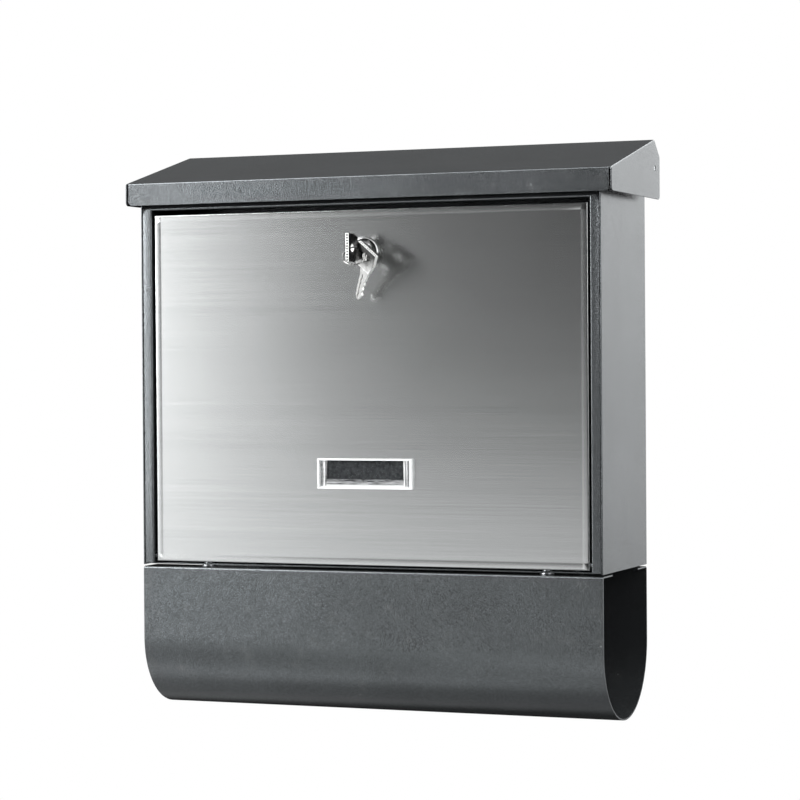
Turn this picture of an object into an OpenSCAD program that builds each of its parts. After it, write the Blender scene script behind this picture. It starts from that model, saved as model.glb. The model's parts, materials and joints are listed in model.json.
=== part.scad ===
// Wall mounted mailbox with a hinged roof lid, a drop-down door and an open newspaper tube.
// Millimetres. The front faces -Y, the wall is the plane y = 0 and +Z is up.
// The origin is the centre of the four wall holes, on the wall.

/* [Housing] */
// Width of the housing over its side panels
body_w = 351; // [330:1:370]
// Depth of the housing from its back flanges to its front edges
body_d = 104; // [98:1:112]
// Gap between the wall and the back of the housing
wall_gap = 10; // [9:0.5:14]
// Height of the side panels' lower edge
base_z = -131; // [-134:0.5:-128]
// Thickness of the painted steel sheet
sheet_t = 1; // [0.8:0.1:1.2]

/* [Roof lid] */
// How far the lid reaches past each side of the housing
lid_side = 9.5; // [8:0.5:12]
// How far the lid's lip stands in front of the housing
lid_front = 5.5; // [4:0.5:8]
// How far the lid reaches behind the housing
lid_rear = 6; // [3:0.5:6]
// Height of the lip's lower edge
lip_z = 130.4; // [129.5:0.1:131.5]
// Height of the lip
lip_h = 16.2; // [15:0.1:18]
// Rise of the roof from the lip's top to the ridge
ridge_rise = 26.1; // [24:0.1:28]
// Drop of the bevel behind the ridge
bevel_drop = 10.6; // [9:0.1:12]
// Slit between the lip's ends and the lid's side plates
lid_slit = 1.2; // [0.8:0.1:2]

/* [Door] */
// Width of the door
door_w = 331; // [310:1:332]
// Height of the door
door_h = 252; // [250:0.5:252]
// Height of the door's lower edge above the housing's
door_lift = 2.5; // [2:0.1:3]
// How far the door's face sits behind the housing's front edges
door_recess = 1.8; // [1.5:0.1:3]
// Depth of the inner door pan's sides
pan_d = 8.5; // [8:0.1:8.6]

/* [Lock and keys] */
// Height of the lock's centre
lock_z = 92.5; // [90:0.5:96]
// Diameter of the lock's round face
lock_face_d = 23; // [20:0.5:26]
// Reach of the cam from the lock's centre
cam_len = 38; // [37:0.5:40]
// Width of a key's bow
key_bow_w = 20; // [18:0.5:21]
// Thickness of a key's bow
key_t = 2.4; // [1.8:0.1:2.6]

/* [Nameplate] */
// Width of the nameplate holder
plate_w = 72; // [66:1:76]
// Height of the nameplate holder
plate_h = 21.6; // [20:0.1:24]
// Height of the nameplate holder's centre
plate_z = -63.4; // [-70:0.1:-55]

/* [Newspaper tube] */
// Height of the tube
tube_h = 104; // [96:1:110]
// Width of the tube's top flanges
tube_flange = 22; // [18:1:26]
// Gap between the tube and the housing, taken up by the nuts' heads
tube_gap = 1.3; // [1:0.1:2]

/* [Wall fixing] */
// Distance between the wall holes along X
wall_dx = 240; // [200:5:280]
// Distance between the wall holes along Z
wall_dz = 180; // [140:5:200]
// Diameter of the wall holes
wall_hole_d = 6; // [5:0.1:7]

/* [Hidden] */
$fn = 64;

// Colours
anthracite = [0.27, 0.28, 0.29];
steel = [0.72, 0.73, 0.72];
zinc = [0.62, 0.63, 0.64];
chrome = [0.8, 0.8, 0.82];
clear = [0.85, 0.88, 0.9, 0.4];
black = [0.07, 0.07, 0.07];

// Fits
run_gap = 0.05;
touch = 0.01;

// Housing
half_w = body_w / 2;
in_w = half_w - sheet_t;
back_y = -wall_gap;
front_y = back_y - body_d;
panel_y = back_y - sheet_t;
rear_flange = 14;
side_top_front = 143;
side_top_rear = 161;
side_top_run = 14;
back_top = 158;

// Front frame
door_gap = 1.8;
jamb_x = door_w / 2 + door_gap;
frame_y = front_y + 0.3;
jamb_back = front_y + 15;
stile_groove = 0.6;
head_z = 126.8;
frame_top = 144;
frame_flange = 11;
frame_base = base_z + 1.1;
frame_return = 18;

// Mail slot
slot_half = 163;
slot_front = front_y + 16;
slot_rear = slot_front + 40;
slot_z = frame_top - 2 * sheet_t;
guard_h = 25;

// Lid and its hinge
lid_half = half_w + lid_side;
lid_y0 = front_y - lid_front;
lid_y1 = back_y + lid_rear;
ridge_y = lid_y1 - 12;
lip_top = lip_z + lip_h;
ridge_z = lip_top + ridge_rise;
pivot_y = ridge_y;
pivot_z = ridge_z - 20.6;
rod_r = 2;
rod_hole_r = rod_r + run_gap;
collar_r = 3.8;
clip_t = 0.6;
plate_corner = 3;

// Door
door_y = front_y + door_recess;
skin_t = 0.8;
skin_d = 8;
door_z0 = base_z + door_lift;
door_z1 = door_z0 + door_h;
door_pin_y = door_y + 3.5;
door_pin_z = door_z0 + 3.7;
door_pin_r = 1.5;
pan_y = door_y + skin_t;

// Lock
lock_hole_r = 9.1;
barrel_r = 9;
barrel_back = door_y + 13.2;
plug_r = 6.5;
face_t = 2.4;
cam_y = barrel_back + 0.5;
cam_t = 1.6;
tail_w = 7;
keyway_w = 2.8;
keyway_h = 8.4;
keyway_d = 14;

// Keys: bow, shoulder and blade lengths along the key, from its outer end
bow_len = 16.5;
bow_in_w = 16;
neck_len = 5;
blade_len = 19.5;
blade_w = 7;
blade_tip_w = 5.4;
blade_t = 1.8;
key_hole_r = 2.8;
key_hole_at = 6.5;
bow_offset = 2.6;
key_out = 30.4;
ring_r = 8.5;
wire_r = 0.7;

// Hole of the key in the lock, which the ring hangs from, and hole of the spare key
hole_1 = [0, door_y - key_out + key_hole_at, lock_z + bow_offset];
hole_2 = hole_1 + [13.5, -4.5, -6.5];
ring_at = hole_1 + [4.7, -4.1, -5.8];
ring_turn = [0, 49.2, -82];
spare_turn = [15.5, 35, -21.5];

// Nameplate
plate_depth = 3;
plate_open_w = 62;
plate_open_h = 15.5;
plate_rim = 1.4;
plate_ledge = 5.4;
plate_side = 5.2;
win_low = plate_z - plate_h / 2 + plate_rim + plate_ledge;
win_high = plate_z + plate_h / 2 - plate_rim;
win_half = plate_w / 2 - plate_rim - plate_side;
win_y = door_y - 1.2;
win_t = 0.8;
clip_half = plate_open_w / 2 - 0.3;
clip_w = 1.4;
clip_h = 12;

// Tube
tube_top = base_z - tube_gap;
tube_r = body_d / 2;
tube_mid_y = back_y - tube_r;
tube_mid_z = tube_top - tube_h + tube_r;
screw_x = 130;
screw_ys = [front_y + 16, back_y - 16];
nut_r = 3.45;
screw_r = 1.95;
nut_head_r = 5;

// A box from its lowest to its highest corner
module block(low, high) {
    translate(low) cube(high - low);
}

// A round bar along X between two x values
module bar_x(x0, x1, r, y, z) {
    translate([x0, y, z]) rotate([0, 90, 0]) cylinder(h = x1 - x0, r = r);
}

// A round bar along Y between two y values
module bar_y(y0, y1, r, x, z) {
    translate([x, y0, z]) rotate([-90, 0, 0]) cylinder(h = y1 - y0, r = r);
}

// A plate cut from an outline in Y and Z, between two x values
module plate_x(x0, x1) {
    translate([x0, 0, 0]) rotate([90, 0, 90]) linear_extrude(x1 - x0) children();
}

// Both sides of a piece that is drawn on the right
module both_sides() {
    children();
    mirror([1, 0, 0]) children();
}

// ---- Housing ----

module right_panel() {
    difference() {
        union() {
            plate_x(in_w, half_w) polygon([
                [front_y, base_z], [back_y, base_z], [back_y, side_top_rear],
                [back_y - side_top_run, side_top_rear], [front_y, side_top_front]
            ]);
            block([half_w - rear_flange, panel_y, base_z], [half_w, back_y, back_top]);
        }
        bar_x(in_w - 1, half_w + 1, rod_hole_r, pivot_y, pivot_z);
    }
}

module side_panel_right() {
    color(anthracite) right_panel();
}

module side_panel_left() {
    color(anthracite) mirror([1, 0, 0]) right_panel();
}

module back_panel() {
    color(anthracite) difference() {
        block([-in_w, panel_y - sheet_t, base_z], [in_w, panel_y, back_top]);
        for (x = [-1, 1] * wall_dx / 2, z = [-1, 1] * wall_dz / 2)
            bar_y(panel_y - 2, panel_y + 1, wall_hole_d / 2, x, z);
    }
}

module bottom_panel() {
    edge_y = front_y + 9.5;
    rear_y = panel_y - sheet_t;
    flange_y = front_y + 20;
    flange_h = 12;
    color(anthracite) difference() {
        union() {
            block([-in_w, edge_y, base_z], [in_w, rear_y, base_z + sheet_t]);
            block([-in_w + sheet_t, rear_y - sheet_t, base_z], [in_w - sheet_t, rear_y, base_z + flange_h]);
            both_sides()
                block([in_w - sheet_t, flange_y, base_z], [in_w, rear_y, base_z + flange_h]);
        }
        for (x = [-1, 1] * screw_x, y = screw_ys)
            translate([x, y, base_z - 1]) cylinder(h = 3, r = nut_r + run_gap);
    }
}

module front_frame() {
    head_x = in_w - stile_groove;
    color(anthracite) difference() {
        union() {
            both_sides() {
                block([jamb_x, frame_y, frame_base], [head_x, frame_y + sheet_t, frame_top]);
                block([jamb_x, frame_y, frame_base], [jamb_x + sheet_t, jamb_back, head_z + sheet_t]);
                block([in_w - sheet_t, frame_y + 0.7, frame_base],
                      [in_w, frame_y + frame_return, slot_z]);
            }
            block([-head_x, frame_y, head_z], [head_x, frame_y + sheet_t, frame_top]);
            block([-jamb_x - sheet_t, frame_y, head_z], [jamb_x + sheet_t, jamb_back, head_z + sheet_t]);
            block([-head_x, frame_y, frame_top - sheet_t], [head_x, frame_y + frame_flange, frame_top]);
        }
        both_sides() bar_x(jamb_x - 1, jamb_x + 2, door_pin_r + run_gap, door_pin_y, door_pin_z);
    }
}

module mail_slot_plate() {
    rear_y = panel_y - sheet_t;
    half = in_w - sheet_t - 0.2;
    color(anthracite) difference() {
        union() {
            block([-half, frame_y + sheet_t, slot_z], [half, rear_y, slot_z + sheet_t]);
            block([-half, rear_y - sheet_t, slot_z - 12], [half, rear_y, slot_z + sheet_t]);
            block([-slot_half, slot_rear, slot_z - guard_h], [slot_half, slot_rear + sheet_t, slot_z + sheet_t]);
        }
        block([-slot_half, slot_front, slot_z - 1], [slot_half, slot_rear, slot_z + 2]);
    }
}

module wall_spacers() {
    color(black) for (x = [-1, 1] * wall_dx / 2, z = [-1, 1] * wall_dz / 2)
        difference() {
            bar_y(panel_y, 0, 8, x, z);
            bar_y(panel_y - 1, 1, wall_hole_d / 2, x, z);
        }
}

module lid_buffers() {
    buffer_r = 3.5;
    buffer_h = 3.2;
    edge = 1.2;
    color(black) both_sides() translate([120, frame_y + 6, frame_top]) rotate_extrude() {
        square([buffer_r, buffer_h - edge]);
        square([buffer_r - edge, buffer_h]);
        translate([buffer_r - edge, buffer_h - edge]) intersection() {
            circle(edge);
            square(edge);
        }
    }
}

module lid_hinge_rod() {
    rod_half = lid_half - 0.3;
    color(zinc) bar_x(-rod_half, rod_half, rod_r, pivot_y, pivot_z);
}

module ring_x(x0, x1, outer) {
    difference() {
        bar_x(x0, x1, outer, pivot_y, pivot_z);
        bar_x(x0 - 1, x1 + 1, rod_hole_r, pivot_y, pivot_z);
    }
}

module rod_clips() {
    color(zinc) both_sides() ring_x(in_w - clip_t, in_w, collar_r);
}

module rod_sleeves() {
    color(black) both_sides() ring_x(half_w, lid_half - sheet_t - 0.4, collar_r);
}

module door_hinge_pins() {
    head_t = 1.2;
    color(zinc) both_sides() {
        bar_x(door_w / 2 - 3, jamb_x + sheet_t, door_pin_r, door_pin_y, door_pin_z);
        bar_x(jamb_x + sheet_t, jamb_x + sheet_t + head_t, 2 * door_pin_r, door_pin_y, door_pin_z);
    }
}

// ---- Newspaper tube ----

// The tube's outline in Y and Z, drawn inset from its outer face
module tube_outline(inset) {
    r = tube_r - inset;
    translate([tube_mid_y, tube_mid_z]) {
        circle(r, $fn = 128);
        translate([-r, 0]) square([2 * r, tube_top - inset - tube_mid_z]);
    }
}

module newspaper_tube() {
    mouth = tube_r - tube_flange;
    color(anthracite) difference() {
        plate_x(-half_w, half_w) difference() {
            tube_outline(0);
            tube_outline(sheet_t);
            translate([tube_mid_y - mouth, tube_mid_z]) square([2 * mouth, tube_r + tube_h]);
        }
        for (x = [-1, 1] * screw_x, y = screw_ys)
            translate([x, y, tube_top - 3]) cylinder(h = 5, r = screw_r + 0.3);
    }
}

module rivet_nuts() {
    color(zinc) for (x = [-1, 1] * screw_x, y = screw_ys)
        translate([x, y, tube_top]) difference() {
            union() {
                cylinder(h = tube_gap, r = nut_head_r);
                cylinder(h = tube_gap + 9, r = nut_r);
            }
            translate([0, 0, -1]) cylinder(h = 14, r = screw_r + run_gap);
        }
}

module tube_screws() {
    head_h = 2.4;
    head_r = 4;
    color(zinc) for (x = [-1, 1] * screw_x, y = screw_ys)
        translate([x, y, tube_top - sheet_t]) {
            cylinder(h = 9, r = screw_r);
            difference() {
                translate([0, 0, -head_h]) cylinder(h = head_h, r = head_r);
                for (a = [0, 90]) translate([0, 0, -head_h]) rotate(a) cube([4.4, 0.9, 2], center = true);
            }
        }
}

// ---- Roof lid ----

// The lid's side outline with round lower corners
module lid_plate_outline() {
    difference() {
        polygon([
            [lid_y0, lip_z], [lid_y1, lip_z], [lid_y1, ridge_z - bevel_drop],
            [ridge_y, ridge_z], [lid_y0, lip_top]
        ]);
        corner_cut([lid_y0, lip_z], 1);
        corner_cut([lid_y1, lip_z], -1);
    }
}

// What a round lower corner takes away, towards +1 or -1 along the outline
module corner_cut(corner, side) {
    translate(corner) difference() {
        translate([side > 0 ? -1 : -plate_corner, -1]) square(plate_corner + 1);
        translate([side * plate_corner, plate_corner]) circle(plate_corner);
    }
}

// The roof sheet: slope and bevel, one sheet thick
module roof_strip() {
    slope = atan2(ridge_rise, ridge_y - lid_y0);
    drop = sheet_t / cos(slope);
    bevel = atan2(bevel_drop, lid_y1 - ridge_y);
    rear_drop = sheet_t / cos(bevel);
    polygon([
        [lid_y0, lip_top], [ridge_y, ridge_z], [lid_y1, ridge_z - bevel_drop],
        [lid_y1, ridge_z - bevel_drop - rear_drop], [ridge_y, ridge_z - drop], [lid_y0, lip_top - drop]
    ]);
}

module roof_lid() {
    lip_half = lid_half - sheet_t - lid_slit;
    color(anthracite) difference() {
        union() {
            plate_x(-lid_half, lid_half) roof_strip();
            both_sides() plate_x(lid_half - sheet_t, lid_half) lid_plate_outline();
            block([-lip_half, lid_y0, lip_z + plate_corner], [lip_half, lid_y0 + sheet_t, lip_top]);
            block([-lip_half + plate_corner, lid_y0, lip_z],
                  [lip_half - plate_corner, lid_y0 + sheet_t, lip_z + plate_corner + touch]);
            both_sides() bar_y(lid_y0, lid_y0 + sheet_t, plate_corner,
                               lip_half - plate_corner, lip_z + plate_corner);
        }
        both_sides() bar_x(lid_half - 2, lid_half + 1, rod_hole_r, pivot_y, pivot_z);
    }
}

// ---- Door ----

// A tray: a face with sides all round, from its front face back
module tray(half, z0, z1, y, depth, t) {
    difference() {
        block([-half, y, z0], [half, y + depth, z1]);
        block([-half + t, y + t, z0 + t], [half - t, y + depth + 1, z1 - t]);
    }
}

// The openings for the lock and the nameplate
module door_openings() {
    bar_y(door_y - 1, door_y + 5, lock_hole_r, 0, lock_z);
    translate([0, door_y + 1, plate_z]) cube([plate_open_w, 6, plate_open_h], center = true);
}

module door_skin() {
    half = door_w / 2;
    color(steel) difference() {
        tray(half, door_z0, door_z1, door_y, skin_d, skin_t);
        door_openings();
        both_sides() bar_x(half - 2, half + 1, door_pin_r + 0.5, door_pin_y, door_pin_z);
    }
}

module door_pan() {
    half = door_w / 2 - skin_t;
    color(anthracite) difference() {
        tray(half, door_z0 + skin_t, door_z1 - skin_t, pan_y, pan_d, sheet_t);
        door_openings();
        both_sides() bar_x(half - 2, half + 1, door_pin_r + run_gap, door_pin_y, door_pin_z);
    }
}

// ---- Lock ----

module lock_housing() {
    color(chrome) difference() {
        union() {
            bar_y(door_y - face_t, door_y, lock_face_d / 2, 0, lock_z);
            bar_y(door_y, barrel_back, barrel_r, 0, lock_z);
        }
        bar_y(door_y - 5, barrel_back + 1, plug_r + run_gap, 0, lock_z);
    }
}

module lock_nut() {
    nut_y = pan_y + sheet_t;
    color(zinc) difference() {
        translate([0, nut_y, lock_z]) rotate([-90, 30, 0]) cylinder(h = 3, r = 13, $fn = 6);
        bar_y(nut_y - 1, nut_y + 4, barrel_r + run_gap, 0, lock_z);
    }
}

module lock_plug() {
    front = door_y - face_t - 0.3;
    back = barrel_back + 0.3;
    color(chrome) difference() {
        union() {
            bar_y(front, back, plug_r, 0, lock_z);
            translate([-tail_w / 2, back - 1, lock_z - tail_w / 2]) cube([tail_w, 3, tail_w]);
        }
        translate([-keyway_w / 2, front - 1, lock_z - keyway_h / 2]) cube([keyway_w, keyway_d + 1, keyway_h]);
        bar_y(back - 3, back + 4, screw_r + run_gap, 0, lock_z);
    }
}

module lock_cam() {
    root_r = 8;
    tip_r = 6;
    color(zinc) difference() {
        translate([0, cam_y + cam_t, lock_z]) rotate([90, 0, 0]) linear_extrude(cam_t) {
            circle(root_r);
            polygon([[0, -root_r], [cam_len - tip_r, -tip_r], [cam_len - tip_r, tip_r], [0, root_r]]);
            translate([cam_len - tip_r, 0]) circle(tip_r);
        }
        translate([0, cam_y, lock_z]) cube([tail_w + 0.1, 8, tail_w + 0.1], center = true);
    }
}

module cam_screw() {
    head_y = cam_y + cam_t + 0.2;
    color(zinc) difference() {
        union() {
            bar_y(head_y - 4, head_y, screw_r, 0, lock_z);
            bar_y(head_y, head_y + 2, 5.2, 0, lock_z);
        }
        for (a = [0, 90]) translate([0, head_y + 2, lock_z]) rotate([0, a, 0]) cube([5, 2, 0.9], center = true);
    }
}

// ---- Keys ----

// A key that hangs from the middle of its hole: blade down along -Z, flat across Y
module key_shape() {
    top = key_hole_at;
    bow_end = top - bow_len;
    neck_end = bow_end - neck_len;
    tip = neck_end - blade_len;
    rotate([90, 0, 0]) {
        translate([0, 0, -key_t / 2]) linear_extrude(key_t) difference() {
            polygon([
                [-key_bow_w / 2 + 1, top], [key_bow_w / 2 - 1, top], [key_bow_w / 2, top - 1],
                [key_bow_w / 2, top - 9], [bow_in_w / 2, bow_end], [-bow_in_w / 2, bow_end],
                [-key_bow_w / 2, top - 9], [-key_bow_w / 2, top - 1]
            ]);
            circle(key_hole_r);
        }
    }
    translate([bow_offset, 0, 0]) rotate([90, 0, 0]) translate([0, 0, -blade_t / 2]) linear_extrude(blade_t) polygon([
        [-blade_w / 2 - 1, bow_end + 1], [blade_w / 2 + 1, bow_end + 1], [blade_w / 2, neck_end],
        [blade_tip_w / 2, tip + 3], [0, tip], [-blade_tip_w / 2, tip + 3], [-blade_w / 2, neck_end]
    ]);
}

module key_in_lock() {
    color(chrome) translate(hole_1) rotate([0, 90, 0]) rotate([90, 0, 0]) key_shape();
}

module spare_key() {
    color(chrome) translate(hole_2) rotate(spare_turn) key_shape();
}

module key_ring() {
    color(chrome) translate(ring_at) rotate(ring_turn)
        rotate_extrude() translate([ring_r, 0]) circle(wire_r, $fn = 24);
}

// ---- Nameplate ----

module nameplate_frame() {
    notch_w = 4;
    notch_h = 2;
    step_d = 1.4;
    low = plate_z - plate_h / 2;
    high = plate_z + plate_h / 2;
    half = plate_w / 2;
    front = door_y - plate_depth;
    color(clear) {
        difference() {
            block([-half, front, low], [half, door_y, high]);
            block([-half + plate_rim, front - 1, low + plate_rim],
                  [half - plate_rim, front + step_d, high - plate_rim]);
            block([-win_half, front - 1, win_low], [win_half, door_y + 1, win_high]);
            translate([0, front, win_low]) cube([notch_w, 5, 2 * notch_h], center = true);
        }
        both_sides() block([clip_half - clip_w, door_y - touch, plate_z - clip_h / 2],
                           [clip_half, pan_y + 4, plate_z + clip_h / 2]);
    }
}

// A flat piece lying in the holder's window, between two y values
module in_window(gap, y0, y1) {
    block([-win_half + gap, y0, win_low + gap], [win_half - gap, y1, win_high - gap]);
}

module nameplate_window() {
    color(clear) in_window(run_gap, win_y, win_y + win_t);
}

module name_card() {
    color(black) in_window(0.2, win_y + win_t, door_y);
}

module nameplate_retainer() {
    y = pan_y + sheet_t;
    thick = 1.5;
    half = plate_open_w / 2 + 4;
    half_h = plate_open_h / 2 + 2.5;
    color(black) difference() {
        block([-half, y, plate_z - half_h], [half, y + thick, plate_z + half_h]);
        both_sides() block([clip_half - clip_w - run_gap, y - 1, plate_z - clip_h / 2 - run_gap],
                           [clip_half + run_gap, y + thick + 1, plate_z + clip_h / 2 + run_gap]);
    }
}

side_panel_left();
side_panel_right();
back_panel();
bottom_panel();
front_frame();
mail_slot_plate();
wall_spacers();
lid_buffers();
lid_hinge_rod();
rod_clips();
rod_sleeves();
door_hinge_pins();
newspaper_tube();
rivet_nuts();
tube_screws();
roof_lid();
door_skin();
door_pan();
lock_housing();
lock_nut();
nameplate_frame();
nameplate_window();
name_card();
nameplate_retainer();
lock_plug();
lock_cam();
cam_screw();
key_in_lock();
key_ring();
spare_key();
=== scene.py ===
"""The looks of the wall mounted mailbox: powder coated sheet steel, a brushed stainless door,
a cam lock with its keys, a clear nameplate holder and the newspaper tube.
Metres, in the frame of the CAD model: the front faces -Y, the wall is y = 0 and +Z is up."""

import json
import math

import bmesh
import bpy
from mathutils import Matrix, Vector


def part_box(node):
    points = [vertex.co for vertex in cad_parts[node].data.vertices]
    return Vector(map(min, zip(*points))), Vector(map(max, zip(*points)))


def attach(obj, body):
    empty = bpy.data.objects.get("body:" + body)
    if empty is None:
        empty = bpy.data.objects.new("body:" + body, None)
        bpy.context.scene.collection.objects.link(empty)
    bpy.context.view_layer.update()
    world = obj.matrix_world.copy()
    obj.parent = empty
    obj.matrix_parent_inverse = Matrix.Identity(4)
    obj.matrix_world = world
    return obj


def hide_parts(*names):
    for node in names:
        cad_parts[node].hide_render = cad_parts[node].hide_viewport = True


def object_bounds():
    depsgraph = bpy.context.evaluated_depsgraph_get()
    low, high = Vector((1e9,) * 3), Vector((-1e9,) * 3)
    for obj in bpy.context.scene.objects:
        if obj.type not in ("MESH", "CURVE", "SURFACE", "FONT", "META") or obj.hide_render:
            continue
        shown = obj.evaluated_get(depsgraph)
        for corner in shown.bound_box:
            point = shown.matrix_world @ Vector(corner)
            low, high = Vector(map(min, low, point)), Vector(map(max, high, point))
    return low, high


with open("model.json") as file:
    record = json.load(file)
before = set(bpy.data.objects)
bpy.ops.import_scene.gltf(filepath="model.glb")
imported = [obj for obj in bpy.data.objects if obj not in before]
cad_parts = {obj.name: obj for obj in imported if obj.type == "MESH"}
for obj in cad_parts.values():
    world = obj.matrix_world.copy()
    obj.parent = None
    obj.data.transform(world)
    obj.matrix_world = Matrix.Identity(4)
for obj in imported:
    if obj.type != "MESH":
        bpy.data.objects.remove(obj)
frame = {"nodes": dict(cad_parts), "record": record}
cad_low, cad_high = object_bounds()

MM = 0.001

# The camera: where it stands, and its turn, tilt and roll in degrees
CAMERA_AT = (0.7111, -1.8113, 0.0123)
CAMERA_TURN = 21.942
CAMERA_TILT = -0.741
CAMERA_ROLL = -0.400
CAMERA_LENS = 117.41

# The mailbox hangs at this height over the floor
HANG_HEIGHT = 1.25
FLOOR_SIZE = 24
SHARP_ANGLE = math.radians(30)


# ---- Places read from the frame, in millimetres ----

def box(node):
    """The lowest and highest corner of a CAD node, in millimetres."""
    low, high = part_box(node)
    return low / MM, high / MM


LID_LOW, LID_HIGH = box("roof_lid")
SKIN_LOW, SKIN_HIGH = box("door_skin")
FRAME_LOW, FRAME_HIGH = box("front_frame")
TUBE_LOW, TUBE_HIGH = box("newspaper_tube")
LOCK_LOW, LOCK_HIGH = box("lock_housing")
PLATE_LOW, PLATE_HIGH = box("nameplate_frame")
KEY_LOW, KEY_HIGH = box("key_in_lock")
ROD_LOW, ROD_HIGH = box("lid_hinge_rod")
JAMB_X = SKIN_HIGH.x + 1.8
SHEET = 1.0
LIP_HEIGHT = 16.2
BEVEL_DROP = 10.6
LID_SLIT = 1.2
LID_BEND = 1.5
RIDGE_BEND = 2.4
PLATE_CORNER = 3.0
DOOR_Y = SKIN_LOW.y
LOCK_Z = (LOCK_LOW.z + LOCK_HIGH.z) / 2

# The keys: bow, neck and blade, and where the two keys and the ring hang
KEY_BOW, KEY_WAIST, KEY_BOW_LENGTH, KEY_THICK = 20.0, 16.0, 16.5, 2.4
KEY_HOLE_AT, KEY_NECK, KEY_BLADE, KEY_BLADE_THICK, KEY_OFFSET = 6.5, 5.0, 19.5, 1.8, 2.6
KEY_HOLE = Vector((0, KEY_LOW.y + KEY_HOLE_AT, (KEY_LOW.z + KEY_HIGH.z) / 2))
SPARE_HOLE = KEY_HOLE + Vector((13.5, -4.5, -6.5))
SPARE_TURN = (15.5, 35, -21.5)
RING_AT = KEY_HOLE + Vector((4.7, -4.1, -5.8))
RING_TURN = (49.2, -82)
RING_R = 8.5


# ---- Node trees ----

def add(tree, kind, inputs=(), **settings):
    """A new shader node, with its settings and with values or links on its inputs."""
    made = tree.nodes.new("ShaderNode" + kind)
    for key, value in settings.items():
        setattr(made, key, value)
    for key, value in dict(inputs).items():
        if isinstance(value, bpy.types.NodeSocket):
            tree.links.new(value, made.inputs[key])
        else:
            made.inputs[key].default_value = value
    return made


def maths(tree, operation, *values):
    """The result of a Math node."""
    return add(tree, "Math", enumerate(values), operation=operation).outputs[0]


def spread(tree, value, low, high, to_low=0.0, to_high=1.0, smooth=False):
    """A value mapped from one range to another, and held inside it."""
    ends = {"From Min": low, "From Max": high, "To Min": to_low, "To Max": to_high}
    made = add(tree, "MapRange", {"Value": value, **ends})
    made.interpolation_type = "SMOOTHSTEP" if smooth else "LINEAR"
    return made.outputs[0]


def place(tree, stretch=(1, 1, 1)):
    """The point on the piece in the frame's metres, stretched along each axis."""
    at = add(tree, "TexCoord").outputs["Object"]
    return add(tree, "VectorMath", {0: at, 1: stretch}, operation="MULTIPLY").outputs[0]


def noise(tree, at, scale, detail=2.0, roughness=0.5):
    """Noise from 0 to 1."""
    settings = {"Vector": at, "Scale": scale, "Detail": detail, "Roughness": roughness}
    return add(tree, "TexNoise", settings).outputs[0]


def tone_of(tree):
    """The tone that shade() stored on the piece."""
    return add(tree, "Attribute", attribute_name="tone").outputs["Fac"]


def tones(tree, factor, dark, light):
    """A colour between two others."""
    made = add(tree, "Mix", {0: factor}, data_type="RGBA")
    made.inputs[6].default_value = (*dark, 1)
    made.inputs[7].default_value = (*light, 1)
    return made.outputs[2]


def bump(tree, height, distance, normal=None):
    """A normal bent by a height, whose full range is the distance in metres."""
    inputs = {"Height": height, "Distance": distance, "Strength": 1.0}
    if normal is not None:
        inputs["Normal"] = normal
    return add(tree, "Bump", inputs).outputs[0]


def finish_of(name, build, **sockets):
    """A material with one Principled shader. Sockets are set here, and build() links the rest."""
    made = bpy.data.materials.new(name)
    made.use_nodes = True
    tree = made.node_tree
    tree.nodes.clear()
    shader = add(tree, "BsdfPrincipled", {k.replace("_", " "): v for k, v in sockets.items()})
    add(tree, "OutputMaterial", {"Surface": shader.outputs[0]})
    for key, value in build(tree).items():
        tree.links.new(value, shader.inputs[key])
    return made


# ---- Materials ----

def paint(tree):
    """Anthracite powder coat: a fine sandy grain over an orange peel, with faint scuffs."""
    at = place(tree)
    grain = noise(tree, at, 1250, 3.0, 0.6)
    peel = noise(tree, at, 560, 2.0)
    cloud = noise(tree, at, 14, 4.0)
    dust = spread(tree, noise(tree, at, 60, 6.0, 0.7), 0.56, 0.8)
    tone = maths(tree, "ADD", maths(tree, "MULTIPLY", grain, 0.8), maths(tree, "MULTIPLY", cloud, 0.2))
    colour = tones(tree, spread(tree, tone, 0.36, 0.64), (0.076, 0.081, 0.0845), (0.15, 0.16, 0.166))
    dusty = add(tree, "Mix", {0: maths(tree, "MULTIPLY", dust, 0.22), 6: colour}, data_type="RGBA")
    dusty.inputs[7].default_value = (0.26, 0.26, 0.255, 1)
    rough = spread(tree, maths(tree, "ADD", maths(tree, "MULTIPLY", peel, 0.6), dust), 0.2, 1.2, 0.2, 0.29)
    normal = bump(tree, grain, 0.00009, bump(tree, peel, 0.00002))
    return {"Base Color": dusty.outputs[2], "Roughness": rough, "Normal": normal}


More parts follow.
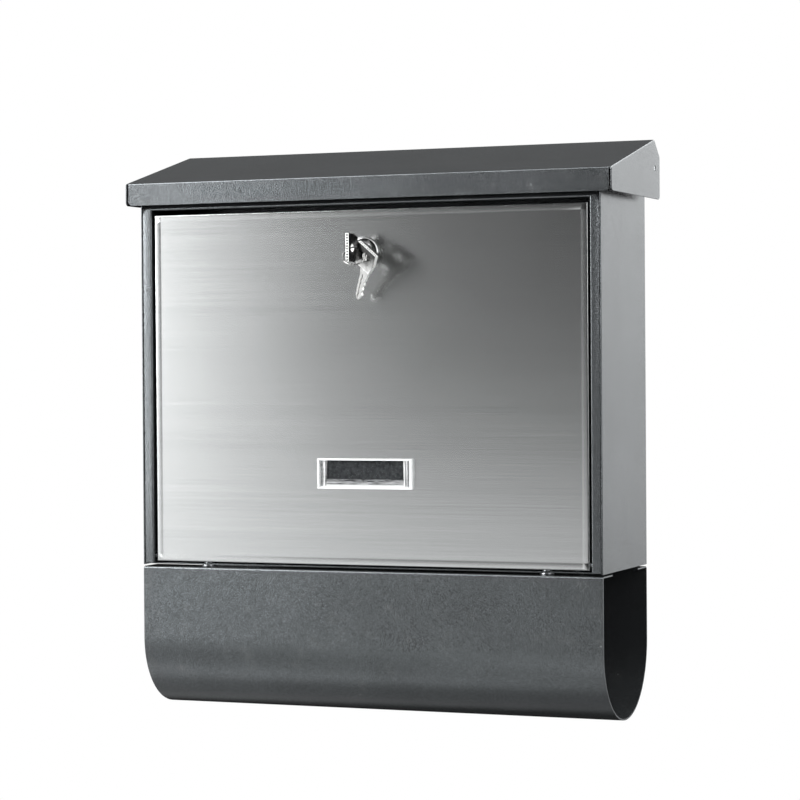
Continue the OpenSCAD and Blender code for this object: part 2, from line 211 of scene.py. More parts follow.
def brushed(tree):
    """Stainless steel with fine horizontal brushing, longer streaks, specks and faint scratches."""
    hair = noise(tree, place(tree, (22, 22, 4200)), 1.0, 3.0, 0.6)
    streak = noise(tree, place(tree, (3, 3, 620)), 1.0, 3.0, 0.6)
    band = noise(tree, place(tree, (1.5, 1.5, 55)), 1.0, 3.0)
    cloud = noise(tree, place(tree), 16, 3.0)
    specks = spread(tree, noise(tree, place(tree, (1, 1, 1.6)), 520, 1.0), 0.78, 0.84)
    lines = maths(tree, "ADD", maths(tree, "MULTIPLY", hair, 0.55), maths(tree, "MULTIPLY", streak, 0.45))
    tone = maths(tree, "ADD", maths(tree, "MULTIPLY", lines, 0.75), maths(tree, "MULTIPLY", band, 0.25))
    colour = tones(tree, spread(tree, tone, 0.3, 0.7), (0.563, 0.572, 0.57), (0.652, 0.66, 0.658))
    spotted = add(tree, "Mix", {0: maths(tree, "MULTIPLY", specks, 0.4), 6: colour}, data_type="RGBA")
    spotted.inputs[7].default_value = (0.92, 0.92, 0.9, 1)
    uneven = maths(tree, "ADD", lines, maths(tree, "MULTIPLY", cloud, 0.5))
    rough = spread(tree, uneven, 0.4, 1.1, 0.162, 0.178)
    normal = bump(tree, lines, 0.000012)
    tangent = add(tree, "Tangent", direction_type="UV_MAP", uv_map="grain").outputs[0]
    return {"Base Color": spotted.outputs[2], "Roughness": rough, "Normal": normal, "Tangent": tangent}


def plated(tree, dark, light, rough_low, rough_high, wave):
    """A plated metal with patches of wear and a slight unevenness."""
    at = place(tree)
    patch = noise(tree, at, 140, 4.0, 0.6)
    scratch = noise(tree, place(tree, (900, 900, 5200)), 1.0, 2.0)
    colour = tones(tree, spread(tree, patch, 0.3, 0.7), dark, light)
    uneven = maths(tree, "ADD", patch, maths(tree, "MULTIPLY", scratch, 0.5))
    rough = spread(tree, uneven, 0.5, 1.0, rough_low, rough_high)
    return {"Base Color": colour, "Roughness": rough, "Normal": bump(tree, patch, wave)}


def chrome(tree):
    return plated(tree, (0.16, 0.16, 0.16), (0.34, 0.34, 0.34), 0.08, 0.2, 0.00006)


def nickel(tree):
    """Nickel plate whose tone paints its light: dark, glossy and fully metallic at tone 0 for a painted dark
    reflection and painted shade; near white, rougher and less metallic at tone 1 for a painted highlight.
    """
    at = place(tree)
    tone = tone_of(tree)
    patch = spread(tree, noise(tree, at, 300, 4.0, 0.6), 0.3, 0.7, -0.12, 0.12)
    # Tone 1 paints a near-white highlight and tone 0 a dark reflection and painted shade; the random patches
    # shift it a little.
    painted_sheen_and_patches = spread(tree, maths(tree, "ADD", tone, patch), 0.0, 1.0)
    return {"Base Color": tones(tree, painted_sheen_and_patches, (0.06, 0.06, 0.058), (0.95, 0.95, 0.93)),
            "Metallic": spread(tree, tone, 0.2, 1.0, 1.0, 0.35),
            "Roughness": spread(tree, painted_sheen_and_patches, 0.0, 1.0, 0.12, 0.32),
            "Normal": bump(tree, patch, 0.0001)}


def zinc(tree):
    return plated(tree, (0.46, 0.48, 0.5), (0.68, 0.69, 0.7), 0.28, 0.48, 0.00008)


def moulded(tree):
    """Matt black plastic with a fine spark-eroded texture."""
    at = place(tree)
    grain = noise(tree, at, 1400, 2.0)
    colour = tones(tree, noise(tree, at, 90, 3.0), (0.018, 0.018, 0.019), (0.034, 0.034, 0.035))
    rough = spread(tree, grain, 0.3, 0.7, 0.48, 0.62)
    return {"Base Color": colour, "Roughness": rough, "Normal": bump(tree, grain, 0.00008)}


def soft_black(tree):
    """Black rubber, dusty in places."""
    at = place(tree)
    dust = noise(tree, at, 260, 5.0, 0.7)
    colour = tones(tree, spread(tree, dust, 0.45, 0.8), (0.014, 0.014, 0.014), (0.06, 0.06, 0.058))
    rough = spread(tree, dust, 0.3, 0.7, 0.6, 0.85)
    return {"Base Color": colour, "Roughness": rough, "Normal": bump(tree, dust, 0.0001)}


def card(tree):
    """The blank dark insert, mottled like foamed paper under plastic."""
    at = place(tree)
    mottle = noise(tree, at, 420, 5.0, 0.7)
    colour = tones(tree, spread(tree, mottle, 0.35, 0.7), (0.012, 0.0135, 0.015), (0.06, 0.065, 0.069))
    rough = spread(tree, mottle, 0.3, 0.7, 0.4, 0.7)
    return {"Base Color": colour, "Roughness": rough, "Normal": bump(tree, mottle, 0.0002)}


def clear(tree):
    """Clear moulded plastic: a painted white highlight at its edges (tone 1), glassy inside (tone 0), with
    horizontal grey streaks, a painted reflection of the brushed steel behind it.
    """
    at = place(tree)
    tone = tone_of(tree)
    wave = noise(tree, at, 420, 4.0, 0.65)
    # Horizontal grey streaks: a painted reflection of the brushed steel behind the plastic.
    streak = spread(tree, noise(tree, place(tree, (140, 300, 1500)), 1.0, 3.0, 0.6), 0.35, 0.65)
    glassy = tones(tree, streak, (0.03, 0.032, 0.034), (0.42, 0.43, 0.44))
    colour = add(tree, "Mix", {0: tone, 6: glassy}, data_type="RGBA")
    # Near white on the rim: a painted highlight.
    colour.inputs[7].default_value = (0.97, 0.975, 0.975, 1)
    return {"Base Color": colour.outputs[2], "Roughness": spread(tree, wave, 0.3, 0.7, 0.08, 0.22),
            "Normal": bump(tree, wave, 0.0003)}


def pane(tree):
    """The thin clear window, almost all see-through, with a mottled sheen and a slight wave."""
    at = place(tree)
    wave = noise(tree, at, 460, 4.0)
    colour = tones(tree, spread(tree, wave, 0.35, 0.65), (0.03, 0.032, 0.034), (0.3, 0.31, 0.315))
    rough = spread(tree, wave, 0.3, 0.7, 0.02, 0.08)
    return {"Base Color": colour, "Roughness": rough, "Normal": bump(tree, wave, 0.0001)}


FINISHES = {
    "anthracite_paint": finish_of("anthracite_paint", paint, Metallic=0.85, IOR=1.5),
    "brushed_stainless": finish_of("brushed_stainless", brushed, Metallic=1.0,
                                   Anisotropic=0.3, Anisotropic_Rotation=0.25),
    "chrome_plate": finish_of("chrome_plate", chrome, Metallic=1.0),
    "key_nickel": finish_of("key_nickel", nickel, Metallic=1.0),
    "zinc_steel": finish_of("zinc_steel", zinc, Metallic=1.0),
    "black_plastic": finish_of("black_plastic", moulded, IOR=1.5),
    "black_rubber": finish_of("black_rubber", soft_black, IOR=1.5),
    "black_card": finish_of("black_card", card, IOR=1.5, Specular_IOR_Level=0.12),
    "clear_plastic": finish_of("clear_plastic", clear, Transmission_Weight=0.3, IOR=1.49),
    "clear_pane": finish_of("clear_pane", pane, Alpha=0.05, IOR=1.3),
}


# ---- Mesh tools ----

def copy_of(node):
    """A node's shape as a bmesh, with its triangles merged back into flat faces."""
    bm = bmesh.new()
    bm.from_mesh(frame["nodes"][node].data)
    bmesh.ops.remove_doubles(bm, verts=bm.verts, dist=0.002 * MM)
    bmesh.ops.dissolve_limit(bm, angle_limit=math.radians(0.5), verts=bm.verts, edges=bm.edges)
    return bm


def is_sharp(edge):
    return len(edge.link_faces) == 2 and edge.calc_face_angle() > SHARP_ANGLE


def bend(bm, pick, radius, steps=4):
    """Rounds the sharp edges whose two ends, in millimetres, satisfy pick()."""
    edges = [e for e in bm.edges if is_sharp(e) and all(pick(v.co / MM) for v in e.verts)]
    bmesh.ops.bevel(bm, geom=edges, offset=radius * MM, segments=steps, profile=0.5,
                    affect="EDGES", clamp_overlap=False)


def near(a, b, slack=0.06):
    return abs(a - b) < slack


def arc(centre, radius, start, end, steps):
    """Points round a centre in a plane, from one angle to another in degrees."""
    turns = [math.radians(start + (end - start) * i / steps) for i in range(steps + 1)]
    return [Vector((centre[0] + radius * math.cos(t), centre[1] + radius * math.sin(t))) for t in turns]


def lathe(profile, axis_at, steps=64):
    """A solid of revolution about Y from (distance, y) points, closed on itself, in millimetres."""
    bm = bmesh.new()
    rings = []
    for i in range(steps):
        turn = 2 * math.pi * i / steps
        across, up = math.cos(turn), math.sin(turn)
        rings.append([bm.verts.new(Vector((axis_at[0] + r * across, y, axis_at[1] + r * up)) * MM)
                      for r, y in profile])
    for i, ring in enumerate(rings):
        other = rings[(i + 1) % steps]
        for k in range(len(profile)):
            j = (k + 1) % len(profile)
            bm.faces.new([ring[k], ring[j], other[j], other[k]])
    bmesh.ops.recalc_face_normals(bm, faces=bm.faces)
    return bm


def slab(bm, low, high):
    """A box added to a bmesh, from its lowest to its highest corner in millimetres."""
    low, high = Vector(low), Vector(high)
    size = high - low
    turn = Matrix.Translation((low + high) / 2 * MM) @ Matrix.Diagonal((*(size * MM), 1))
    bmesh.ops.create_cube(bm, size=1.0, matrix=turn)


def shade(bm, tone):
    """Stores tone(face, corner), with the corner in millimetres, for a finish that varies over a piece; on
    the keys and the clear holder this tone is painted light and shade.
    """
    layer = bm.loops.layers.float_color.new("tone")
    for face in bm.faces:
        for loop in face.loops:
            level = tone(face, loop.vert.co / MM)
            loop[layer] = (level, level, level, 1)


def piece(bm, name, node, body, edge=0.2, steps=2, thickness=None, finish=None):
    """Makes the object that stands for a CAD node: small rounded edges, even shading, finish and body."""
    mesh = bpy.data.meshes.new(name)
    if "grain" not in bm.loops.layers.uv:
        grain = bm.loops.layers.uv.new("grain")
        for face in bm.faces:
            for loop in face.loops:
                x, y, z = loop.vert.co
                loop[grain].uv = (x + 0.37 * y, z + 0.61 * y)
    for face in bm.faces:
        face.smooth = True
    bm.to_mesh(mesh)
    bm.free()
    for spare in ("custom_normal", "UVMap"):
        if spare in mesh.attributes:
            mesh.attributes.remove(mesh.attributes[spare])
    made = bpy.data.objects.new(name, mesh)
    bpy.context.scene.collection.objects.link(made)
    slots = {part["node"]: part["material_slot"] for part in frame["record"]["subparts"]}
    mesh.materials.clear()
    mesh.materials.append(FINISHES[finish or slots[node]])
    if thickness:
        sheet = made.modifiers.new("sheet", "SOLIDIFY")
        sheet.thickness = thickness * MM
        sheet.offset = -1
        sheet.use_even_offset = True
        sheet.use_quality_normals = True
    if edge:
        rounding = made.modifiers.new("edges", "BEVEL")
        rounding.width = edge * MM
        rounding.segments = steps
        rounding.limit_method = "ANGLE"
        rounding.angle_limit = SHARP_ANGLE
        rounding.use_clamp_overlap = True
    made.modifiers.new("shading", "WEIGHTED_NORMAL").keep_sharp = True
    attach(made, body)
    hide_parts(node)


# ---- Sheet metal ----

def roof_lid():
    """One bent sheet: slope and bevel with a rounded ridge, the lip in front, and the side plates,
    which a slit parts from the lip. It is drawn as its outer surface, in millimetres."""
    x_end, y_front, y_rear = LID_HIGH.x, LID_LOW.y, LID_HIGH.y
    ridge = Vector(((ROD_LOW.y + ROD_HIGH.y) / 2, LID_HIGH.z))
    slope = (ridge - Vector((y_front, LID_LOW.z + LIP_HEIGHT))).normalized()
    fall = Vector((y_rear - ridge.x, -BEVEL_DROP)).normalized()
    slope_up, fall_up = Vector((-slope.y, slope.x)), Vector((-fall.y, fall.x))
    first, last = (math.degrees(math.atan2(n.y, n.x)) for n in (slope_up, fall_up))
    middle = math.radians((first + last) / 2)
    reach = RIDGE_BEND / math.cos(math.radians((first - last) / 2))
    ridge_centre = ridge - reach * Vector((math.cos(middle), math.sin(middle)))
    lip_at = (y_front + LID_BEND - ridge.x + slope_up.x * LID_BEND) / slope.x
    lip_centre = ridge + slope * lip_at - slope_up * LID_BEND
    lip_half = x_end - SHEET - LID_SLIT

    def roof_line(inset):
        """The roof in Y and Z, from front to rear, moved in from its outer face."""
        start, end = ridge - slope_up * inset, ridge - fall_up * inset
        front = start + slope * ((y_front - start.x) / slope.x)
        rear = end + fall * ((y_rear - end.x) / fall.x)
        return [front, start + slope * lip_at, *arc(ridge_centre, RIDGE_BEND - inset, first, last, 6), rear]

    bm = bmesh.new()

    def point(x, p):
        return bm.verts.new((x * MM, p[0] * MM, p[1] * MM))

    def strips(rows):
        """Quads between rows of (x, point) that have the same number of points."""
        rows = [[point(*q) for q in row] for row in rows]
        for one, two in zip(rows, rows[1:]):
            for i in range(len(one) - 1):
                bm.faces.new((one[i], one[i + 1], two[i + 1], two[i]))

    flat_end = x_end - LID_BEND
    line = roof_line(0)
    bm.faces.new([point(x, line[1]) for x in (-flat_end, -lip_half, lip_half, flat_end)]
                 + [point(x, line[2]) for x in (flat_end, -flat_end)])
    strips([[(-flat_end, p) for p in line[2:]], [(flat_end, p) for p in line[2:]]])
    lip_arc = arc(lip_centre, LID_BEND, first, 180, 5)
    strips([[(-lip_half, p) for p in lip_arc], [(lip_half, p) for p in lip_arc]])
    low = LID_LOW.z
    corner = (lip_half - PLATE_CORNER, low + PLATE_CORNER)
    round_end = arc(corner, PLATE_CORNER, -90, 0, 5)
    face = [(lip_half, lip_arc[-1][1]), *reversed(round_end)]
    face += [(-x, z) for x, z in reversed(face)]
    bm.faces.new([point(x, (y_front, z)) for x, z in face])

    hole = (ridge.x, (ROD_LOW.z + ROD_HIGH.z) / 2)
    hole_r = (ROD_HIGH.z - ROD_LOW.z) / 2 + 0.05
    for side in (-1, 1):
        strips([[(side * lip_half, p) for p in line[:2]], [(side * flat_end, p) for p in line[:2]]])
        turns = [math.radians(90 * i / 5) for i in range(6)]
        strips([[(side * (flat_end + LID_BEND * math.sin(t)), p)
                 for p in roof_line(LID_BEND * (1 - math.cos(t)))]
                for t in turns])
        top = roof_line(LID_BEND)
        split = 5
        front_part = top[:split + 1] + arc(hole, hole_r, 90, 270, 12) + [(hole[0], low)]
        front_part += arc((y_front + PLATE_CORNER, low + PLATE_CORNER), PLATE_CORNER, 270, 180, 5)
        rear_part = top[split:] + arc((y_rear - PLATE_CORNER, low + PLATE_CORNER), PLATE_CORNER, 0, -90, 5)
        rear_part += [(hole[0], low)] + arc(hole, hole_r, -90, 90, 12)
        for part in (front_part, rear_part):
            bm.faces.new([point(side * x_end, p) for p in part])
    bmesh.ops.remove_doubles(bm, verts=bm.verts, dist=0.002 * MM)
    bmesh.ops.recalc_face_normals(bm, faces=bm.faces)
    upward = sum(f.normal.z * f.calc_area() for f in bm.faces)
    if upward < 0:
        bmesh.ops.reverse_faces(bm, faces=bm.faces)
    piece(bm, "roof_lid_sheet", "roof_lid", "lid", edge=0.16, thickness=SHEET)


def side_panels():
    for side in ("left", "right"):
        node = "side_panel_" + side
        piece(copy_of(node), node + "_sheet", node, "housing", edge=0.35)


def front_frame():
    """Stiles and top rail, with bends towards the door opening; the outer edges have only the small rounding
    of all edges. Above fold_z, under the lip of the lid, the front sheet leans back, by lean at its top edge.
    The CAD frame is upright there, so this piece differs from it, and the lid buffers overhang the leaning
    sheet."""
    bm = copy_of("front_frame")
    head_z, fold_z, lean = 126.8, 128.3, 9.0
    bmesh.ops.bisect_plane(bm, geom=bm.verts[:] + bm.edges[:] + bm.faces[:],
                           plane_co=(0, 0, fold_z * MM), plane_no=(0, 0, 1))
    for v in bm.verts:
        if v.co.z / MM > fold_z + 0.1 and v.co.y / MM < FRAME_LOW.y + SHEET + 0.1:
            v.co.y += lean * MM * (v.co.z / MM - fold_z) / (FRAME_HIGH.z - fold_z)
    bend(bm, lambda p: near(p.y, FRAME_LOW.y) and (near(abs(p.x), JAMB_X) or near(p.z, head_z)), 0.9)
    piece(bm, "front_frame_sheet", "front_frame", "housing", edge=0.25)


def tube():
    """The newspaper tube, bent at its two top corners."""
    bm = copy_of("newspaper_tube")
    bend(bm, lambda p: near(p.z, TUBE_HIGH.z) and (near(p.y, TUBE_LOW.y) or near(p.y, TUBE_HIGH.y)), 1.6, 5)
    piece(bm, "newspaper_tube_sheet", "newspaper_tube", "housing", edge=0.28)


def plain_sheets():
    for node, edge in (("back_panel", 0.25), ("bottom_panel", 0.25), ("mail_slot_plate", 0.3)):
        piece(copy_of(node), node + "_sheet", node, "housing", edge=edge)
    piece(copy_of("door_pan"), "door_pan_sheet", "door_pan", "door", edge=0.25)


# ---- Door ----

def door_skin():
    """The stainless skin: rounded hems, and a face that steps in a hair inside them."""
    bm = copy_of("door_skin")

    def on_rim(p):
        on_side = near(abs(p.x), SKIN_HIGH.x)
        on_end = near(p.z, SKIN_LOW.z) or near(p.z, SKIN_HIGH.z)
        return near(p.y, DOOR_Y) and (on_side or on_end)

    bend(bm, on_rim, 1.2, 5)
    hem, ramp, step = 4.6, 0.9, 0.16
    for inset in (hem, hem + ramp):
        for axis, at in ((0, SKIN_LOW.x + inset), (0, SKIN_HIGH.x - inset),
                         (2, SKIN_LOW.z + inset), (2, SKIN_HIGH.z - inset)):
            normal = Vector((axis == 0, 0, axis == 2))
            faces = [f for f in bm.faces
                     if f.normal.y < -0.99 and near(f.calc_center_median().y / MM, DOOR_Y)]
            around = set(faces) | {e for f in faces for e in f.edges} | {v for f in faces for v in f.verts}
            bmesh.ops.bisect_plane(bm, geom=list(around), plane_co=normal * at * MM, plane_no=normal)
    inner = hem + ramp - 0.05
    for v in bm.verts:
        p = v.co / MM
        inside = abs(p.x) < SKIN_HIGH.x - inner and SKIN_LOW.z + inner < p.z < SKIN_HIGH.z - inner
        if inside and near(p.y, DOOR_Y):
            v.co.y += step * MM
    piece(bm, "door_skin_sheet", "door_skin", "door", edge=0.2)


# ---- Nameplate ----

def nameplate():
    """The clear holder with its inner ribs, the window, the dark card and the retainer."""
    bm = copy_of("nameplate_frame")
    front, rim = PLATE_LOW.y, 1.4
    half = PLATE_HIGH.x
    win_low, win_high = box("nameplate_window")
    for side in (-1, 1):
        for at, wide, proud in ((half - rim - 1.9, 0.7, 0.9), (half - rim - 4.4, 0.6, 0.5)):
            x = sorted((side * at, side * (at + wide)))
            slab(bm, (x[0], front + proud, PLATE_LOW.z + rim + 0.5),
                 (x[1], front + 2.2, PLATE_HIGH.z - rim - 0.3))
        x = sorted((side * 2.8, side * (win_high.x - 0.3)))
        slab(bm, (x[0], front + 0.7, win_low.z - 0.9), (x[1], front + 2.0, win_low.z - 0.15))
        slab(bm, (x[0], front + 1.0, win_low.z - 3.4), (x[1], front + 2.0, win_low.z - 2.9))

    def on_rim(face, p):
        inside = abs(p.x) < half - rim - 0.1 and PLATE_LOW.z + rim + 0.1 < p.z < PLATE_HIGH.z - rim - 0.1
        # Tone 1 gives the rim its painted white highlight; what lies inside the rim and behind its front is
        # glassy (tone 0).
        return 0.0 if inside and p.y > front + 0.6 else 1.0

    shade(bm, on_rim)
    piece(bm, "nameplate_holder", "nameplate_frame", "door", edge=0.3, steps=3)
    window = copy_of("nameplate_window")
    piece(window, "nameplate_pane", "nameplate_window", "door", edge=0.15, finish="clear_pane")
    piece(copy_of("name_card"), "name_card_blank", "name_card", "door", edge=0.08)
    piece(copy_of("nameplate_retainer"), "nameplate_clip", "nameplate_retainer", "door", edge=0.3)


# ---- Lock ----

def lock():
    """The cam lock: a turned face with a recess round the plug, a threaded barrel, and its small parts."""
    face_r = (LOCK_HIGH.x - LOCK_LOW.x) / 2
    front, back = LOCK_LOW.y, LOCK_HIGH.y
    barrel_r, bore_r = 9.0, 6.55
    recess = [(bore_r, back), (bore_r, front + 0.5), (bore_r + 0.3, front + 0.3),
              (bore_r + 1.0, front + 0.1), (bore_r + 1.4, front)]
    crown = [(face_r - 1.9, front), (face_r - 1.2, front + 0.15), (face_r - 0.5, front + 0.6),
             (face_r - 0.1, front + 1.2), (face_r, front + 1.7)]
    outline = recess + crown + [(face_r, DOOR_Y - 0.15), (face_r - 0.2, DOOR_Y), (barrel_r, DOOR_Y)]
    pitch, depth = 1.0, 0.45
    y = DOOR_Y + 1.0
    while y + pitch < back - 0.4:
        outline += [(barrel_r, y), (barrel_r - depth, y + pitch / 2)]
        y += pitch
    outline += [(barrel_r, y), (barrel_r, back - 0.4), (barrel_r - 0.4, back)]
    piece(lathe(outline, (0, LOCK_Z), 72), "lock_body", "lock_housing", "door", edge=0)
    piece(copy_of("lock_nut"), "lock_hex_nut", "lock_nut", "door", edge=0.4)
    piece(copy_of("lock_plug"), "lock_core", "lock_plug", "lock", edge=0.22)
    piece(copy_of("lock_cam"), "lock_tongue", "lock_cam", "lock", edge=0.3)
    piece(copy_of("cam_screw"), "cam_fixing_screw", "cam_screw", "lock", edge=0.3)


# ---- Keys ----

def key_mesh(turn, hole):
    """A key hung from its hole: blade down, flat across Y. The bow has a milled outer edge, and the
    blade beside its middle line is grooved on both sides and cut along one edge."""
    bm = bmesh.new()
    top, half, waist, shoulder = KEY_HOLE_AT, KEY_BOW / 2, KEY_WAIST / 2, KEY_HOLE_AT - KEY_BOW_LENGTH
    thick = KEY_THICK / 2
    wall, ribs = 0.62, 10
    rim = top - wall
    right = [(half, rim), (half, top - 9), *arc((waist - 1, shoulder + 1), 1, 20, -90, 4)]
    hole_r = 2.8
    for side in (-1, 1):
        outline = [(0, rim)] + right + [(0, shoulder)] + arc((0, 0), hole_r, -90, 90, 14)
        faces = [[bm.verts.new((side * x * MM, y * MM, z * MM)) for x, z in outline] for y in (-thick, thick)]
        bm.faces.new(faces[0])
        bm.faces.new(faces[1])
        for i in range(len(outline)):
            j = (i + 1) % len(outline)
            if outline[i][0] > 0.001 or outline[j][0] > 0.001:
                bm.faces.new((faces[0][i], faces[0][j], faces[1][j], faces[1][i]))
    bmesh.ops.remove_doubles(bm, verts=bm.verts, dist=0.002 * MM)
    for side in (-1, 1):
        y = sorted((side * thick, side * (thick - wall)))
        slab(bm, (-half, y[0], rim - 0.1), (half, y[1], top))
    for i in range(ribs + 1):
        x = -half + (2 * half - 0.8) * i / ribs
        slab(bm, (x, wall - thick - 0.1, rim - 0.1), (x + 0.8, thick - wall + 0.1, top - 0.12))
    blade_top, tip = shoulder + 1.0, shoulder - KEY_NECK - KEY_BLADE
    depth, groove = KEY_BLADE_THICK / 2, 0.42
    cuts = (0, 0, 1.1, 1.1, 0.4, 0.4, 1.7, 1.7, 0.7, 0.7, 1.4, 1.4, 0.2, 0.2, 1.0, 1.6)
    rows = [(blade_top, -4.5, 4.5), (shoulder - KEY_NECK + 1.5, -4.2, 4.2), (shoulder - KEY_NECK, -3.5, 3.5)]
    start = shoulder - KEY_NECK - 1.2
    for i, cut in enumerate(cuts):
        z = start + (tip + 2.2 - start) * i / (len(cuts) - 1)
        rows.append((z, -3.5 + 0.6 * i / len(cuts), 3.5 - cut))
    rows.append((tip, -0.9, 0.6))
    loops = []
    for z, left, right_edge in rows:
        a, b = left + 0.28 * (right_edge - left), left + 0.48 * (right_edge - left)
        c, d = left + 0.6 * (right_edge - left), left + 0.74 * (right_edge - left)
        sunk = depth - (groove if z < shoulder - KEY_NECK + 0.5 else 0)
        face = [(left, depth - 0.15), (left + 0.15, depth), (a, depth), (a + 0.1, sunk), (b, sunk),
                (b + 0.1, depth), (c, depth), (d, depth), (right_edge - 0.15, depth),
                (right_edge, depth - 0.15)]
        ring = [(x, -y) for x, y in face] + [(x, y) for x, y in reversed(face)]
        loops.append([bm.verts.new(((x + KEY_OFFSET) * MM, y * MM, z * MM)) for x, y in ring])
    for one, two in zip(loops, loops[1:]):
        for i in range(len(one)):
            j = (i + 1) % len(one)
            bm.faces.new((one[i], one[j], two[j], two[i]))
    bm.faces.new(loops[0])
    bm.faces.new(loops[-1])
    bmesh.ops.recalc_face_normals(bm, faces=bm.faces)

    def painted_light_of(face, p):
        """Painted light on the key, as a tone: the flat of the bow is a painted reflection, dark round its
        hole and lighter towards the shoulder. Painted shade darkens the grooves, the floors between the ribs
        and the rear face, and the edges get a painted highlight.
        """
        # Edges get a painted highlight; the floors between the ribs get painted shade.
        if abs(face.normal.y) < 0.7:
            return 0.0 if near(p.z, rim) and abs(face.normal.z) > 0.7 else 1.0
        # The rear face gets painted shade.
        if face.normal.y > 0.7:
            return 0.1
        # On the blade, painted shade in the grooves.
        if p.z < shoulder:
            return 0.55 if abs(p.y) > depth - 0.2 else 0.15
        # The bow's flat: a painted reflection, dark round the hole and lighter towards the shoulder.
        return 0.75 * min(1.0, max(0.0, (p.z + 3.5) / (shoulder + 3.5)))

    shade(bm, painted_light_of)
    bm.transform(Matrix.Translation(hole * MM) @ turn)
    return bm


def split_ring():
    """Two turns of wire side by side, which open at their ends like a real key ring."""
    tip, round_z = (math.radians(angle) for angle in RING_TURN)
    turn = Matrix.Rotation(round_z, 4, "Z") @ Matrix.Rotation(tip, 4, "Y")
    bm = bmesh.new()
    steps, sides, wire = 120, 10, 0.34
    rings = []
    for i in range(steps + 1):
        t = i / steps
        angle = 4 * math.pi * t
        lift = 0.33 * (2 / (1 + math.exp(-(t - 0.5) * 40)) - 1)
        out = Vector((math.cos(angle), math.sin(angle), 0))
        ring = []
        for k in range(sides):
            u = 2 * math.pi * k / sides
            spot = out * (RING_R + wire * math.cos(u)) + Vector((0, 0, lift + wire * math.sin(u)))
            ring.append(bm.verts.new((RING_AT + turn @ spot) * MM))
        rings.append(ring)
    for one, two in zip(rings, rings[1:]):
        for k in range(sides):
            bm.faces.new((one[k], one[(k + 1) % sides], two[(k + 1) % sides], two[k]))
    bm.faces.new(rings[0])
    bm.faces.new(rings[-1])
    bmesh.ops.recalc_face_normals(bm, faces=bm.faces)
    shade(bm, lambda face, p: 0.35)
    return bm


def keys():
    """The key in the plug, flat across X, and the spare that hangs from it on the ring."""
    quarter = math.radians(90)
    in_lock = Matrix.Rotation(quarter, 4, "Y") @ Matrix.Rotation(quarter, 4, "X")
    hanging = Matrix.Identity(4)
    for axis, angle in zip("XYZ", SPARE_TURN):
        hanging = Matrix.Rotation(math.radians(angle), 4, axis) @ hanging
    piece(key_mesh(in_lock, KEY_HOLE), "key_turning", "key_in_lock", "lock", edge=0.14)
    piece(key_mesh(hanging, SPARE_HOLE), "key_spare", "spare_key", "spare_key", edge=0.14)
    piece(split_ring(), "key_ring_wire", "key_ring", "ring", edge=0)


# ---- Rods, pins, fixings ----

def small_parts():
    for node, edge in (("lid_hinge_rod", 0.5), ("rod_clips", 0.12), ("rod_sleeves", 0.4),
                       ("door_hinge_pins", 0.35), ("rivet_nuts", 0.25), ("tube_screws", 0.35),
                       ("wall_spacers", 0.7), ("lid_buffers", 0)):
        piece(copy_of(node), node + "_detail", node, "housing", edge=edge)


# ---- Studio ----

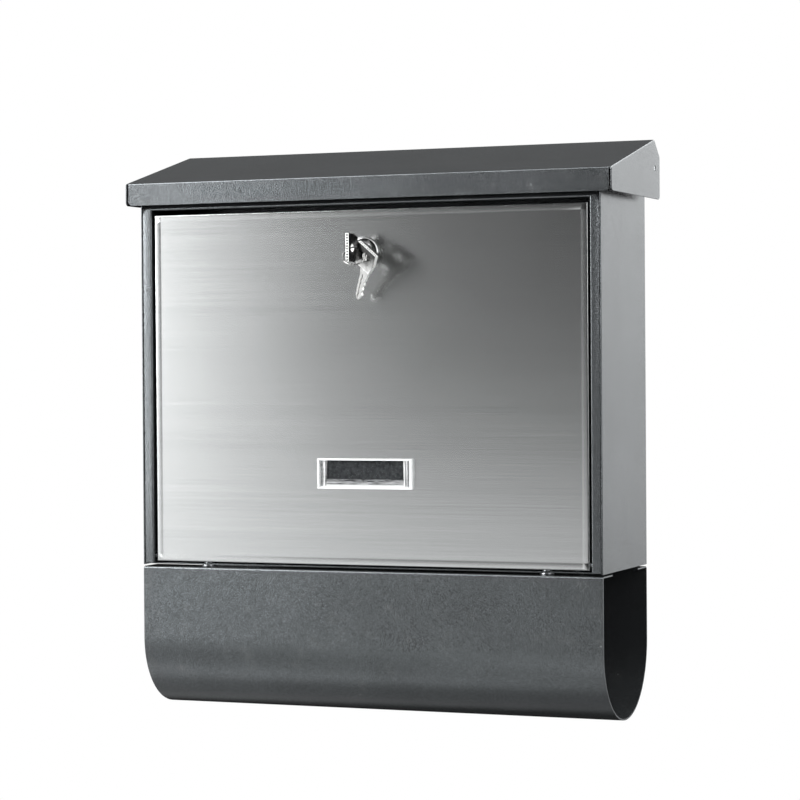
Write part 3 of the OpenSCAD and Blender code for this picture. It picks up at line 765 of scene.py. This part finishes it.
def studio_light():
    """A plain soft studio. The camera sees white all round; the surfaces see soft panels of light,
    given by their direction: azimuth 0 is in front of the door and 90 to its right."""
    world = bpy.data.worlds.new("studio")
    bpy.context.scene.world = world
    world.use_nodes = True
    tree = world.node_tree
    tree.nodes.clear()
    way = add(tree, "TexCoord").outputs["Generated"]
    x, y, z = add(tree, "SeparateXYZ", {0: way}).outputs
    azimuth = maths(tree, "DEGREES", maths(tree, "ARCTAN2", x, maths(tree, "MULTIPLY", y, -1.0)))
    height = maths(tree, "DEGREES", maths(tree, "ARCSINE", z))

    def panel(brightness, across, up, soft_across, soft_up):
        """A panel of light between two azimuths and two heights in degrees, with soft edges."""
        level = None
        for value, (low, high), soft in ((azimuth, across, soft_across), (height, up, soft_up)):
            rise = spread(tree, value, low - soft, low + soft, smooth=True)
            fall = spread(tree, value, high - soft, high + soft, 1.0, 0.0, smooth=True)
            both = maths(tree, "MULTIPLY", rise, fall)
            level = both if level is None else maths(tree, "MULTIPLY", level, both)
        return maths(tree, "MULTIPLY", level, brightness)

    panels = [
        panel(14.5, (-60, -34), (1, 50), 3, 3),
        panel(5.2, (-34, -29.5), (0, 8), 2, 2.5),
        panel(1.8, (-34, -29.5), (-6, 0), 2, 2),
        panel(1.0, (-30, -25), (-3, 4), 2, 2),
        panel(1.0, (-30, -15), (-20, -3), 2, 2),
        panel(1.6, (-22, -10), (-60, -20), 4, 4),
        panel(1.3, (-110, -34), (-60, -6), 12, 6),
        panel(0.5, (20, 120), (-60, -8), 12, 6),
        panel(4.5, (45, 135), (1, 60), 8, 6),
        panel(2.5, (-70, 60), (50, 80), 12, 6),
        panel(1.9, (150, 178), (3, 60), 6, 3),
        panel(2.6, (150, 178), (28, 50), 6, 5),
        panel(1.15, (150, 178), (-5, 3), 6, 2),
        panel(0.48, (150, 178), (-60, -5), 6, 3),
        panel(0.14, (-182, -145), (14, 60), 6, 4),
        panel(0.4, (-145, -110), (-60, 60), 6, 6),
        panel(0.28, (-400, 400), (-110, -60), 6, 6),
    ]
    total = 0.02
    for level in panels:
        total = maths(tree, "ADD", total, level)
    lit = add(tree, "Background", {"Strength": total, "Color": (0.985, 0.995, 1.0, 1)})
    white = add(tree, "Background", {"Strength": 1.0, "Color": (1, 1, 1, 1)})
    seen = add(tree, "LightPath").outputs["Is Camera Ray"]
    mixed = add(tree, "MixShader", {0: seen, 1: lit.outputs[0], 2: white.outputs[0]})
    add(tree, "OutputWorld", {"Surface": mixed.outputs[0]})


def floor():
    """A plain pale floor, as far below the mailbox as one hangs over the ground."""
    bm = bmesh.new()
    bmesh.ops.create_grid(bm, x_segments=1, y_segments=1, size=FLOOR_SIZE / 2)
    mesh = bpy.data.meshes.new("floor")
    bm.to_mesh(mesh)
    bm.free()
    made = bpy.data.objects.new("floor", mesh)
    made.location = (0, 0, cad_low.z - HANG_HEIGHT)
    bpy.context.scene.collection.objects.link(made)
    material = bpy.data.materials.new("floor")
    material.use_nodes = True
    tree = material.node_tree
    tree.nodes.clear()
    pale = add(tree, "Emission", {"Color": (1, 1, 1, 1), "Strength": 1.0})
    add(tree, "OutputMaterial", {"Surface": pale.outputs[0]})
    mesh.materials.append(material)
    made.visible_diffuse = made.visible_glossy = made.visible_transmission = made.visible_shadow = False


def camera():
    data = bpy.data.cameras.new("camera")
    data.lens = CAMERA_LENS
    data.sensor_width = 36
    data.clip_start, data.clip_end = 0.05, 50
    made = bpy.data.objects.new("camera", data)
    bpy.context.scene.collection.objects.link(made)
    turn = Matrix.Rotation(math.radians(CAMERA_TURN), 4, "Z")
    tilt = Matrix.Rotation(math.radians(90 + CAMERA_TILT), 4, "X")
    roll = Matrix.Rotation(math.radians(CAMERA_ROLL), 4, "Z")
    made.matrix_world = Matrix.Translation(CAMERA_AT) @ turn @ tilt @ roll
    bpy.context.scene.camera = made


camera()
studio_light()
floor()
roof_lid()
side_panels()
front_frame()
tube()
plain_sheets()
door_skin()
nameplate()
lock()
keys()
small_parts()
bpy.context.scene.view_settings.view_transform = "Standard"
